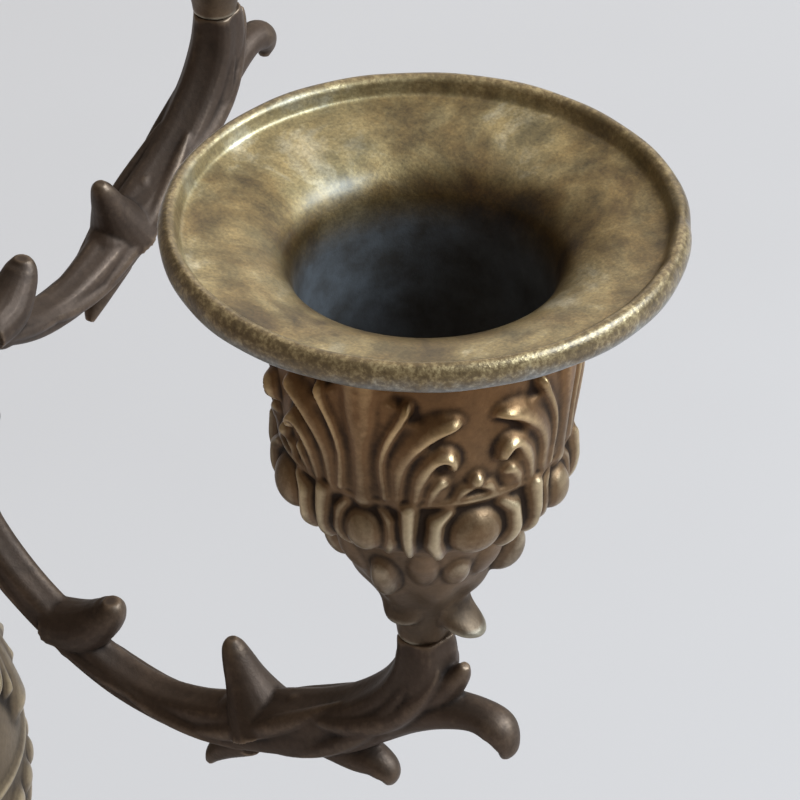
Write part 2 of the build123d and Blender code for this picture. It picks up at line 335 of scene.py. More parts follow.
# One half of an acanthus leaf: x is the share from its midrib to the gap, y the share from foot to tip.
# Each lobe is (path of (x, y, width, height) shares, half width on the path's left, half width on its
# right, height), in mm on a leaf of LEAF_LENGTH.
LEAF_LENGTH = 11.0
LEAF_LOBES = (
    (
        ((0.0, -0.02, 1.0, 0.8), (0.0, 0.45, 1.0, 0.9), (0.03, 0.85, 1.2, 1.1), (0.03, 1.15, 1.3, 1.3)),
        1.5, 1.5, 0.95,
    ),
    (
        (
            (0.21, 0.02, 0.9, 0.8), (0.19, 0.40, 0.9, 0.9), (0.25, 0.62, 0.9, 1.0),
            (0.33, 0.78, 0.9, 1.1), (0.39, 0.90, 1.0, 1.25), (0.40, 0.95, 0.8, 1.2),
        ),
        0.7, 0.5, 1.05,
    ),
    (
        (
            (0.33, 0.02, 0.8, 0.7), (0.36, 0.33, 1.0, 0.85), (0.48, 0.55, 1.0, 1.0),
            (0.64, 0.69, 0.9, 1.1), (0.76, 0.75, 0.6, 1.15), (0.80, 0.75, 0.35, 0.8),
        ),
        2.2, 0.45, 1.05,
    ),
    (
        (
            (0.47, 0.01, 0.8, 0.7), (0.53, 0.26, 1.0, 0.9), (0.63, 0.42, 0.9, 1.05),
            (0.72, 0.46, 0.7, 1.2), (0.76, 0.42, 0.55, 1.4), (0.765, 0.36, 0.5, 1.2),
        ),
        1.5, 0.6, 1.05,
    ),
    (
        ((0.58, 0.0, 0.9, 0.7), (0.62, 0.12, 1.0, 1.0), (0.68, 0.19, 0.8, 0.95), (0.72, 0.17, 0.6, 0.8)),
        0.9, 0.8, 0.85,
    ),
)
# how far the plate under the lobes reaches towards the gap, from foot to tip
LEAF_EDGE_Y = (0.0, 0.12, 0.24, 0.34, 0.44, 0.52, 0.66, 0.76, 0.82, 0.94, 1.0)
LEAF_EDGE_X = (0.72, 0.74, 0.66, 0.60, 0.70, 0.60, 0.56, 0.70, 0.36, 0.36, 0.24)
# the plate's thickness, the softness of its edge, and where it ends as a share of the leaf's length
PLATE_HEIGHT = 0.58
PLATE_EDGE = 0.9
PLATE_TIP = 1.15
# scales the heights of all the lobes
LOBE_LIFT = 1.15


def acanthus(angle, z, leaves, start, foot, tip, radius, depth=1.0):
    """Relief of a ring of acanthus leaves that grow from level foot to level tip, up or down.

    start is the direction of one midrib in degrees, radius where the leaves' width is measured.
    """
    share = folded(angle, leaves, start)
    half_pitch = math.pi * radius / leaves
    reach = abs(tip - foot)
    size = reach / LEAF_LENGTH
    x = share * half_pitch
    y = (z - foot) * np.sign(tip - foot)
    edge = np.interp(y / reach, LEAF_EDGE_Y, LEAF_EDGE_X) * half_pitch
    plate = np.clip((edge - x) / (PLATE_EDGE * size) + 0.5, 0, 1)
    plate = plate * np.clip((PLATE_TIP * reach - y) / 0.8, 0, 1) * np.clip(y / 0.6 + 0.5, 0, 1)
    height = PLATE_HEIGHT * depth * plate
    for path, left, right, lift in LEAF_LOBES:
        scaled = [(px * half_pitch, py * reach, pw, ph) for px, py, pw, ph in path]
        curve = spline(scaled, 1.3 * size)
        full = LOBE_LIFT * lift * depth * size ** 0.5
        height = np.maximum(height, stroke(x, y, curve, left * size, right * size, full))
    return height


# ---- the lights

# the rim's hand-worn waves: (height, waves round the rim, phase)
RIM_WAVES = ((0.05, 3, 0.6), (0.035, 7, 2.0), (0.02, 19, 0.0))
# nicks in the bead near one direction: (mm along the rim, half width, depth, level where it starts)
NICKS_AT = math.radians(33)
RIM_NICKS = ((0.0, 1.3, 0.28, -0.6), (-7.5, 0.9, 0.14, -0.8))
# the bead: where it begins, and the half sizes of its oval section
BEAD_INNER_R = 20.9
BEAD_HALF_WIDTH = 0.95
BEAD_HALF_HEIGHT = 1.45


def bobeche_mesh():
    """The drip pan with its bead rim and candle tube, in one turned shell."""
    middle = RIM_R - BEAD_HALF_WIDTH
    bead = [
        (middle + BEAD_HALF_WIDTH * math.cos(a), BEAD_HALF_HEIGHT * math.sin(a))
        for a in np.linspace(-2.0, 2.25, 15)
    ]
    loop = outline(
        PAN_STEP,
        [(21.2, -1.3), bead[0]],
        bead,
        [bead[-1], (21.2, 0.4), (20.95, -0.08), (20.3, -0.3), (19.6, -0.44), (19.2, -0.52)],
        [
            (19.2, -0.52), (17.0, -0.92), (15.2, -1.4), (13.8, -2.0), (12.8, -2.7), (12.1, -3.6),
            (11.6, -4.8), (11.3, -6.6), (11.15, -9.0), (CANDLE_R, -13.0),
        ],
        [(CANDLE_R, -13.0), (CANDLE_R, SHANK_END + CHAMFER)],
        [(CANDLE_R, SHANK_END + CHAMFER), (11.4, SHANK_END), (SHANK_R, SHANK_END + CHAMFER)],
        [(SHANK_R, SHANK_END + CHAMFER), (SHANK_R, SEAT)],
        [(SHANK_R, SEAT), (12.9, SEAT)],
        [(12.9, SEAT), (13.3, -4.2), (15.2, -3.0), (18.0, -2.1), (21.2, -1.3)],
    )

    def hand_worn(angle, radius, z):
        """The rim is a little uneven all round, with two nicks in the bead."""
        height = sum(size * np.sin(waves * angle + phase) for size, waves, phase in RIM_WAVES)
        along = (np.mod(angle - NICKS_AT + math.pi, 2 * math.pi) - math.pi) * RIM_R
        for place, half_width, depth, level in RIM_NICKS:
            height = height - depth * np.exp(-(((along - place) / half_width) ** 2)) * rise(z, level, 1.6)
        return rise(radius, BEAD_INNER_R, 0.6) * height

    piece = lathe("bobeche_right_turned", loop, 420, hand_worn)
    mark_wear(piece.data)
    return piece


def ridge_ring(z, level, half_width, height):
    """A raised ring at one height."""
    return height * np.clip(1 - ((z - level) / half_width) ** 2, 0, 1)


# The cup has four leaves, and its ornament is drawn from the middle of a gap (x = 0) to a midrib.
CUP_LEAVES = 4
GAP_TO_MIDRIB = 45.0
BAND_MM_PER_DEGREE = 0.234
UNDERSIDE_MM_PER_DEGREE = 0.172
MIDRIB_X = GAP_TO_MIDRIB * BAND_MM_PER_DEGREE
# the bosses of the band, and the berry between two leaves' feet: (centre, half sizes, height, power)
BOSS_LEVEL = -24.0
CUP_BOSSES = (
    ((0, BOSS_LEVEL), (2.7, 2.55), 1.15, 0.7),
    ((MIDRIB_X, BOSS_LEVEL), (2.0, 2.3), 1.15, 0.7),
    ((0, -18.2), (0.75, 0.85), 1.05, 0.6),
)
# the berry's stalk and the straps beside the bosses: (path, half width left, half width right, height)
CUP_STRAPS = (
    (((1.9, -20.2, 1, 0.7), (1.2, -19.3, 1, 0.9), (0, -18.8, 1, 0.8)), 0.5, 0.8, 0.7),
    (((6.3, -20.9, 1.0, 1.0), (6.3, -23.4, 0.8, 0.95), (6.2, -26.4, 0.4, 0.6)), 1.15, 1.15, 1.3),
    (
        ((2.6, -21.3, 0.7, 0.7), (3.8, -22.4, 1.0, 1.0), (4.0, -24.4, 1.0, 1.0), (3.4, -26.6, 0.9, 0.8)),
        1.0, 1.0, 1.0,
    ),
    (
        ((8.8, -21.3, 0.7, 0.7), (8.0, -22.4, 1.0, 1.0), (7.9, -24.6, 1.0, 1.0), (8.5, -26.6, 0.8, 0.7)),
        0.8, 0.8, 0.55,
    ),
)
# lobes under the band: (degrees from the middle of the gap, level, half sizes, height)
UNDERSIDE_LOBES = (
    (21.0, -30.9, (1.6, 2.7), 0.6),
    (0.0, -31.6, (1.5, 1.9), 0.95),
    (45.0, -32.3, (1.6, 2.7), 1.75),
)
# leaves of the neck: (degrees from the arm's outward direction, reach of the tip, level of the tip)
NECK_LEAVES = ((0.0, 3.5, -40.9), (90.0, 1.1, -40.2), (180.0, 0.9, -40.2), (270.0, 1.1, -40.2))
NECK_LEAF_HALF_ANGLE = 34.0


def cup_relief(angle, radius, z):
    """Leaves round the wall, a band of bosses in strapwork, a lower row of lobes and the neck's leaves."""
    outside = (radius > CUP_BORE_R + 0.2) | (z < CUP_FLOOR - 0.2)
    outside &= ~((radius < POCKET_R + 0.2) & (z > POCKET_FLOOR - 0.2))
    outside &= ~((radius < STUD_HOLE_R + 0.3) & (z > CUP_FOOT + 0.1))
    start = LEAF_GAP_ANGLE + GAP_TO_MIDRIB
    height = acanthus(angle, z, CUP_LEAVES, start, foot=-20.0, tip=-9.0, radius=13.3)
    # x is the distance from the middle of the gap, round the band and then round the underside
    from_gap = folded(angle, CUP_LEAVES, LEAF_GAP_ANGLE) * GAP_TO_MIDRIB
    x = from_gap * BAND_MM_PER_DEGREE
    for centre, half_sizes, lift, power in CUP_BOSSES:
        height = np.maximum(height, bump(x, z, centre, half_sizes, lift, power))
    for path, left, right, lift in CUP_STRAPS:
        height = np.maximum(height, stroke(x, z, path, left, right, lift))
    height = np.maximum(height, ridge_ring(z, level=-20.4, half_width=0.6, height=0.55))
    x = from_gap * UNDERSIDE_MM_PER_DEGREE
    for place, level, half_sizes, lift in UNDERSIDE_LOBES:
        centre = (place * UNDERSIDE_MM_PER_DEGREE, level)
        height = np.maximum(height, bump(x, z, centre, half_sizes, lift, 0.6))
    for place, tip, level in NECK_LEAVES:
        turn = np.abs(np.mod(np.degrees(angle) - place + 180, 360) - 180)
        petal = np.clip(1 - (turn / NECK_LEAF_HALF_ANGLE) ** 2, 0, 1)
        # the tip stands out sharply below and runs back softly above
        curl = np.exp(-(((z - level) / np.where(z < level, 0.6, 1.1)) ** 2))
        height = height + petal * tip * curl
    # eight low flutes round the narrowing foot
    height = height + 0.3 * np.cos(8 * angle) * np.exp(-(((z + 36.5) / 1.8) ** 2))
    return soften(np.where(outside, height, 0.0), 2)


def cup_mesh():
    """A candle cup with its rim plane at z = 0: wall, ornament and the pocket for its nut."""
    loop = outline(
        CUP_STEP,
        [(CUP_BORE_R, CUP_TOP), (12.9, CUP_TOP), (13.1, -4.9)],
        [
            (13.1, -4.9), (13.0, -12.0), (12.8, -16.0), (12.5, -20.0), (12.7, -23.5), (12.5, -25.2),
            (11.5, -26.6), (10.2, -27.9), (9.3, -29.2), (8.7, -30.6), (8.0, -32.0), (7.2, -33.6),
            (6.3, -35.6), (4.7, -38.2), (3.4, -40.8), (2.6, -43.0), (2.35, CUP_FOOT),
        ],
        [(2.35, CUP_FOOT), (STUD_HOLE_R, CUP_FOOT)],
    )
    inside = outline(
        POCKET_STEP,
        [(STUD_HOLE_R, CUP_FOOT), (STUD_HOLE_R, POCKET_FLOOR)],
        [(STUD_HOLE_R, POCKET_FLOOR), (POCKET_R, POCKET_FLOOR)],
        [(POCKET_R, POCKET_FLOOR), (POCKET_R, CUP_FLOOR)],
        [(POCKET_R, CUP_FLOOR), (CUP_BORE_R, CUP_FLOOR)],
        [(CUP_BORE_R, CUP_FLOOR), (CUP_BORE_R, CUP_TOP)],
    )
    piece = lathe("cup_right_cast", np.vstack([loop, inside[1:]]), 400, cup_relief)
    mark_wear(piece.data)
    return piece


# ---- the arms

def arm_point(reach_in, depth, *radius):
    """A point of the right-hand arm: reach_in mm inward of the cup's axis, at depth from the rim plane."""
    return (ARM_REACH - reach_in, 0.0, SIDE_RIM_Z + depth, *radius)


def arm_limb(rows, **shape):
    """A tapering limb in the arm's plane through rows of (distance inward, depth, radius)."""
    return limb([arm_point(*row) for row in spline(rows, ARM_STEP)], **shape)


# leaf folds on the arm's faces: (start, end) as shares of the stalk's length, then the share of its
# thickness at which each fold starts and ends, from -1 at the lower edge to 1 at the upper, and its size
ARM_FOLDS = (
    (0.02, 0.20, 0.75, -0.65, 1.15), (0.05, 0.26, -0.05, 0.75, 1.0), (0.15, 0.36, -0.75, 0.35, 1.1),
    (0.27, 0.46, 0.65, -0.55, 0.85), (0.36, 0.55, -0.4, 0.5, 0.7), (0.52, 0.70, 0.4, -0.5, 0.65),
    (0.66, 0.80, -0.5, 0.4, 0.6), (0.82, 0.96, 0.4, -0.4, 0.55),
)
# how far out the folds' middles lie, as a share of the stalk's thickness
FOLD_DEPTH = 0.84
# knots where the thorns spring: (distance inward, depth, radius)
ARM_KNOTS = (
    (39.8, -63.0, 2.35), (20.0, -64.0, 3.0), (46.5, -58.8, 2.1), (52.7, -41.0, 2.15), (57.6, -29.7, 2.2),
)


def fold_on_arm(spine, side, span, slant, size):
    """A long tapering ridge that crosses one face of the stalk at a slant."""
    first, last = (int(share * (len(spine) - 1)) for share in span)
    run = spine[first:last + 1]
    ahead = np.gradient(run[:, :3], axis=0)
    ahead /= np.linalg.norm(ahead, axis=1)[:, None]
    upward = np.cross(ahead, (0, 1, 0))
    share = np.linspace(0, 1, len(run))[:, None]
    across = slant[0] + (slant[1] - slant[0]) * share**1.3
    out = FOLD_DEPTH * np.sqrt(np.clip(1 - across**2, 0.1, 1))
    middle = run[:, :3] + run[:, 3:] * (upward * across + out * np.array((0, side, 0)))
    width = size * (0.25 + 0.75 * np.sin(math.pi * share) ** 0.7)
    return limb(np.hstack([middle, width]), sides=14)


def arm_mesh():
    """The right-hand scroll arm, from under its cup to inside the hub: stalk, thorns, folds and knots."""
    stalk = [
        (-0.2, CUP_FOOT, 2.55), (-0.4, -46.5, 2.75), (0.2, -49.6, 2.85), (2.3, -53.4, 2.95),
        (6.0, -57.2, 3.1), (10.2, -60.0, 3.15), (15.0, -62.2, 3.1), (20.0, -64.2, 2.75),
        (25.0, -65.6, 2.35), (30.0, -66.0, 2.1), (35.0, -65.1, 2.05), (40.0, -62.8, 2.1),
        (45.0, -59.6, 2.1), (49.2, -55.7, 2.15), (51.8, -51.6, 2.05), (52.7, -47.4, 1.9),
        (52.7, -42.0, 1.85), (52.8, -37.0, 1.9), (54.2, -32.6, 1.9), (57.4, -29.7, 1.85),
        (60.8, -29.2, 1.85), (64.0, -30.0, 1.95), (67.0, -30.2, 1.95), (70.4, -30.2, 1.95),
    ]
    shells = [arm_limb(stalk, sides=28, flutes=5, flute_depth=0.07)]
    thorns = [
        [(42.6, -62.0, 2.3), (39.0, -61.2, 2.5), (36.6, -59.2, 2.0), (35.6, -57.6, 1.5), (35.5, -56.6, 0.8)],
        [
            (17.6, -63.4, 3.6), (18.9, -61.2, 2.7), (20.0, -59.0, 1.9), (20.9, -57.0, 1.4),
            (21.4, -55.7, 1.0), (21.5, -55.0, 0.5),
        ],
        [(14.6, -61.0, 1.6), (14.0, -59.5, 1.2), (13.4, -58.6, 0.6)],
        [(19.5, -66.0, 1.9), (22.0, -68.0, 1.5), (23.6, -69.8, 1.0), (24.4, -71.3, 0.45)],
        [(10.5, -60.9, 2.6), (7.2, -62.1, 1.9), (5.0, -62.4, 1.5), (3.8, -63.2, 1.2), (3.6, -64.4, 0.5)],
        [
            (5.0, -56.8, 2.6), (1.0, -54.2, 2.2), (-2.6, -52.6, 1.85), (-6.0, -51.8, 1.6),
            (-8.3, -52.3, 1.65), (-9.2, -53.9, 1.15), (-9.0, -55.3, 0.5),
        ],
        [(-0.5, -51.5, 2.2), (-2.6, -49.6, 1.7), (-4.0, -47.9, 1.05), (-4.6, -46.6, 0.45)],
        [(52.5, -44.0, 1.6), (50.3, -42.2, 1.3), (48.9, -40.2, 0.9), (48.6, -38.8, 0.4)],
        [(52.8, -37.0, 1.8), (54.6, -38.8, 1.3), (56.4, -39.2, 0.9), (57.6, -38.4, 0.4)],
        [(58.0, -29.6, 1.8), (57.2, -27.6, 1.3), (58.0, -25.8, 0.9), (59.4, -25.0, 0.4)],
    ]
    for rows in thorns:
        shells.append(arm_limb(rows, sides=18, squeeze=1.15))
    # the folds lie along the stalk, on both of its faces
    spine = spline([arm_point(*row) for row in stalk], ARM_STEP)
    for side in (-1, 1):
        for start, end, low, high, size in ARM_FOLDS:
            shells.append(fold_on_arm(spine, side, (start, end), (low, high), size))
    for reach_in, depth, size in ARM_KNOTS:
        shells.append(ball(arm_point(reach_in, depth), (size, size * 0.95, size)))
    piece = cast("arm_right_cast", shells, voxel=0.2, rounds=2)
    mark_wear(piece.data)
    return piece


# ---- the stem

# the pinhole left on the axis of a solid end
AXIS_R = 0.02


def ring_of_beads(angle, z, count, radius, level, size, height):
    """A row of round beads at one height."""
    share = folded(angle, count)
    return bump(share * math.pi * radius / count, z, (0, level), (size, size), height)


def gadroons(angle, z, count, low, high, height):
    """Rounded lobes side by side, fading at both ends."""
    share = folded(angle, count)
    fade = rise(z, low, high - low)
    return height * np.sqrt(np.clip(1 - share**2, 0, 1)) * np.clip(4 * fade * (1 - fade), 0, 1) ** 0.6


def stem_piece(name, outer, inner, relief=None, columns=300, step=0.3):
    """A turned stem piece from its outer stretches and the inner line that closes it."""
    loop = outline(step, *outer)
    hidden = outline(HIDDEN_STEP, *inner)
    piece = lathe(name + "_cast", np.vstack([loop, hidden[1:]]), columns, relief)
    piece["node"] = name
    mark_wear(piece.data)
    return piece


def core(bottom, top):
    """The plain hole round the rod, from the top of a piece down to its bottom."""
    wall = [(ROD_HOLE_R, top - CHAMFER), (ROD_HOLE_R, bottom + CHAMFER)]
    return [[(HOLE_EDGE_R, top), *wall, (HOLE_EDGE_R, bottom)]]


def vase():
    """The round vase: leaves up from its foot and down from its shoulder, and a belt of beads."""
    outer = [
        [(9.3, 142.0), (9.5, 142.4)],
        [
            (9.5, 142.4), (14.0, 144.6), (19.4, 149.2), (22.8, 155.6), (23.6, 162.0), (23.3, 169.0),
            (22.0, 176.0), (19.6, 182.2), (15.2, 187.0), (10.5, 189.6),
        ],
        [(10.5, 189.6), (10.3, 190.0), (HOLE_EDGE_R, 190.0)],
    ]

    def relief(angle, radius, z):
        height = acanthus(angle, z, 8, start=22.5, foot=144.5, tip=159.0, radius=20.5)
        shoulder = acanthus(angle, z, 10, start=0.0, foot=188.6, tip=176.0, radius=18.0, depth=0.9)
        height = np.maximum(height, shoulder)
        for level in (161.4, 169.2):
            height = np.maximum(height, ridge_ring(z, level, half_width=0.6, height=0.5))
        belt = ring_of_beads(angle, z, 36, radius=24.0, level=165.3, size=1.75, height=0.75)
        return soften(rise(radius, 5, 2) * np.maximum(height, belt), 2)

    return stem_piece("vase_body", outer, core(142.0, 190.0), relief, columns=420)


def neck():
    """The waisted neck between the vase and the hub."""
    outer = [
        [(HOLE_EDGE_R, 190.0), (10.3, 190.0)],
        [(10.3, 190.0), (10.9, 191.0), (10.3, 192.1)],
        [(10.3, 192.1), (8.4, 193.6), (6.7, 199.0), (6.5, 204.0), (7.4, 210.0), (8.6, 213.6)],
        [(8.6, 213.6), (9.2, 214.8), (8.8, 216.0), (HOLE_EDGE_R, 216.0)],
    ]

    def relief(angle, radius, z):
        return soften(rise(radius, 5) * gadroons(angle, z, 10, low=193.0, high=212.0, height=0.6), 2)

    return stem_piece("vase_neck", outer, core(190.0, 216.0), relief)


def hub_collar():
    """The beaded ring under the hub."""
    outer = [
        [(HOLE_EDGE_R, 216.0), (10.6, 216.0)],
        [(10.6, 216.0), (11.9, 217.0), (12.3, 218.5), (11.9, 220.0), (10.6, 221.0)],
        [(10.6, 221.0), (HOLE_EDGE_R, 221.0)],
    ]

    def relief(angle, radius, z):
        beads = ring_of_beads(angle, z, 20, radius=12.2, level=218.5, size=1.75, height=0.8)
        return soften(rise(radius, 9) * beads, 1)

    return stem_piece("hub_collar", outer, core(216.0, 221.0), relief)


def hub():
    """The hub: a leaf between each two arms, and a raised ring round each arm's socket."""
    outer = [
        [(HOLE_EDGE_R, 221.0), (8.3, 221.0)],
        [
            (8.3, 221.0), (9.6, 222.2), (11.0, 224.4), (11.6, 227.4), (11.7, 232.0), (11.6, 236.6),
            (11.0, 239.2), (9.9, 241.0),
        ],
        [(9.9, 241.0), (HOLE_EDGE_R, 241.0)],
    ]

    def relief(angle, radius, z):
        height = acanthus(angle, z, 4, start=45.0, foot=223.0, tip=239.5, radius=11.8, depth=0.9)
        # x runs from the middle of a socket to the middle of a leaf
        x = folded(angle, 4) * 9.3
        height = np.maximum(height, loop_band(x, z, (0, TENON_Z), (2.9, 2.9), half_width=0.8, height=0.7))
        in_socket = np.hypot(x, z - TENON_Z) < 2.3
        return soften(rise(radius, 7) * np.where(in_socket, 0.0, height), 2)

    return stem_piece("branch_hub", outer, core(221.0, 241.0), relief, columns=360, step=0.25)


def hub_cap():
    """The gadrooned cap on the hub."""
    outer = [
        [(HOLE_EDGE_R, 241.0), (10.7, 241.0)],
        [(10.7, 241.0), (11.5, 242.0), (10.8, 243.0)],
        [(10.8, 243.0), (10.3, 245.6), (8.9, 249.0), (6.2, 251.2), (5.8, 252.0)],
        [(5.8, 252.0), (HOLE_EDGE_R, 252.0)],
    ]

    def relief(angle, radius, z):
        return soften(rise(radius, 5) * gadroons(angle, z, 14, low=243.0, high=251.6, height=0.75), 1)

    return stem_piece("hub_cap", outer, core(241.0, 252.0), relief)


def centre_column():
    """The leafy column with the stud that carries the centre light, hollow below for the rod's end."""
    foot = CENTRE_RIM_Z + CUP_FOOT
    stud_top = CENTRE_RIM_Z - 27.7
    hollow_top = 262.5
    outer = [
        [(3.05, 252.0), (5.6, 252.0)],
        [
            (5.6, 252.0), (6.3, 253.6), (6.5, 256.8), (5.6, 261.6), (4.2, 265.0), (3.1, 268.4), (2.9, 271.0),
            (3.3, 272.4), (2.6, foot),
        ],
        [(2.6, foot), (1.5, foot)],
        [(1.5, foot), (1.5, stud_top - 0.2), (1.3, stud_top)],
        [(1.3, stud_top), (AXIS_R, stud_top)],
    ]
    inner = [
        [(AXIS_R, stud_top), (AXIS_R, hollow_top)],
        [(AXIS_R, hollow_top), (3.05, hollow_top)],
        [(3.05, hollow_top), (3.05, 252.2)],
    ]

    def relief(angle, radius, z):
        outside = rise(radius, 2.9, 0.4) * rise(z, 252.2, 0.6)
        leaves = acanthus(angle, z, 4, start=0.0, foot=252.6, tip=265.0, radius=6.0, depth=0.6)
        return soften(outside * leaves, 1)

    return stem_piece("centre_column", outer, inner, relief, columns=240, step=0.2)


def vase_foot():
    """The waisted foot of the vase."""
    outer = [
        [(HOLE_EDGE_R, 132.0), (11.1, 132.0)],
        [(11.1, 132.0), (11.6, 133.2), (11.1, 134.4)],
        [(11.1, 134.4), (9.4, 135.4), (8.5, 137.6), (8.8, 140.4), (9.3, 141.8)],
        [(9.3, 141.8), (9.1, 142.0), (HOLE_EDGE_R, 142.0)],
    ]
    return stem_piece("vase_foot", outer, core(132.0, 142.0), columns=240)


def baluster():
    """The pear-shaped stem below the vase: gadroons below, leaves down from its top."""
    outer = [
        [(HOLE_EDGE_R, 64.0), (9.4, 64.0)],
        [(9.4, 64.0), (9.9, 65.3), (9.4, 66.5)],
        [
            (9.4, 66.5), (7.7, 68.6), (6.7, 75.0), (6.6, 82.0), (7.4, 92.0), (9.6, 103.0), (12.2, 111.5),
            (12.6, 116.5), (11.0, 122.8), (8.6, 126.6), (8.1, 128.4),
        ],
        [(8.1, 128.4), (9.7, 129.3), (10.1, 130.6), (9.8, 132.0)],
        [(9.8, 132.0), (HOLE_EDGE_R, 132.0)],
    ]

    def relief(angle, radius, z):
        height = gadroons(angle, z, 10, low=69.0, high=103.0, height=0.6)
        leaves = acanthus(angle, z, 5, start=30.0, foot=126.0, tip=107.0, radius=12.0, depth=0.85)
        return soften(rise(radius, 5) * np.maximum(height, leaves), 2)

    return stem_piece("stem_baluster", outer, core(64.0, 132.0), relief, columns=320, step=0.33)


def knop():
    """The gadrooned knop."""
    outer = [
        [(HOLE_EDGE_R, 42.0), (8.4, 42.0)],
        [
            (8.4, 42.0), (11.8, 44.2), (14.4, 48.2), (14.7, 52.2), (12.6, 57.4), (9.4, 60.4), (8.1, 62.0),
            (8.0, 64.0),
        ],
        [(8.0, 64.0), (HOLE_EDGE_R, 64.0)],
    ]

    def relief(angle, radius, z):
        return soften(rise(radius, 7) * gadroons(angle, z, 16, low=42.6, high=60.4, height=0.95), 1)

    return stem_piece("lower_knop", outer, core(42.0, 64.0), relief, columns=320)


def base_collar():
    """The beaded collar on the base."""
    outer = [
        [(HOLE_EDGE_R, 36.0), (12.2, 36.0)],
        [(12.2, 36.0), (13.2, 36.9), (13.4, 38.2), (13.2, 39.5), (12.2, 40.4)],
        [(12.2, 40.4), (10.6, 40.9), (9.2, 42.0)],
        [(9.2, 42.0), (HOLE_EDGE_R, 42.0)],
    ]

    def relief(angle, radius, z):
        beads = ring_of_beads(angle, z, 24, radius=13.4, level=38.2, size=1.65, height=0.75)
        return soften(rise(radius, 11) * beads, 1)

    return stem_piece("base_collar", outer, core(36.0, 42.0), relief)


# a line between the base's inner and outer surfaces, which tells them apart
BASE_MIDDLE_R = (13.0, 23.0, 31.0, 43.0, 55.0)
BASE_MIDDLE_Z = (31.5, 23.0, 17.2, 8.2, 2.2)


def base():
    """The hollow domed base: two rings of leaves that point up the dome, and a beaded edge."""
    outer = [
        [(55.0, 1.0), (57.2, 1.0)],
        [(57.2, 1.0), (58.0, 2.6), (57.0, 4.2), (54.6, 5.2)],
        [(54.6, 5.2), (51.4, 6.4), (48.8, 9.0), (46.2, 9.6)],
        [(46.2, 9.6), (38.0, 14.6), (28.0, 22.4), (19.0, 28.8), (15.0, 32.0), (13.4, 36.0)],
        [(13.4, 36.0), (HOLE_EDGE_R, 36.0)],
    ]
    inner = [
        [(HOLE_EDGE_R, 36.0), (ROD_HOLE_R, 35.7), (ROD_HOLE_R, 31.0)],
        [(ROD_HOLE_R, 31.0), (13.0, 31.0)],
        [(13.0, 31.0), (23.0, 21.8), (31.0, 16.0), (43.0, 7.0)],
        [(43.0, 7.0), (50.0, 3.4), (55.0, 1.0)],
    ]

    def relief(angle, radius, z):
        on_top = rise(z, 0.98 * np.interp(radius, BASE_MIDDLE_R, BASE_MIDDLE_Z), 0.4)
        outer_ring = acanthus(angle, -radius, 8, start=0.0, foot=-45.0, tip=-22.0, radius=34.0, depth=1.5)
        inner_ring = acanthus(angle, -radius, 8, start=22.5, foot=-24.0, tip=-14.0, radius=18.0, depth=0.8)
        edge = rise(radius, 50.5) * np.clip(55.2 - radius, 0, 1) * (0.55 + 0.45 * np.cos(48 * angle))
        return soften(on_top * np.maximum(np.maximum(outer_ring, inner_ring), 0.9 * edge), 2)

    return stem_piece("base_casting", outer, inner, relief, columns=560, step=0.42)


def felt():
    """The disc of baize under the base."""
    loop = outline(
        FELT_STEP,
        [(0.05, 0.0), (53.2, 0.0)],
        [(53.2, 0.0), (54.0, 0.5), (53.2, 1.0)],
        [(53.2, 1.0), (0.05, 1.0)],
    )
    return lathe("felt_disc", loop, 240)


# ---- materials

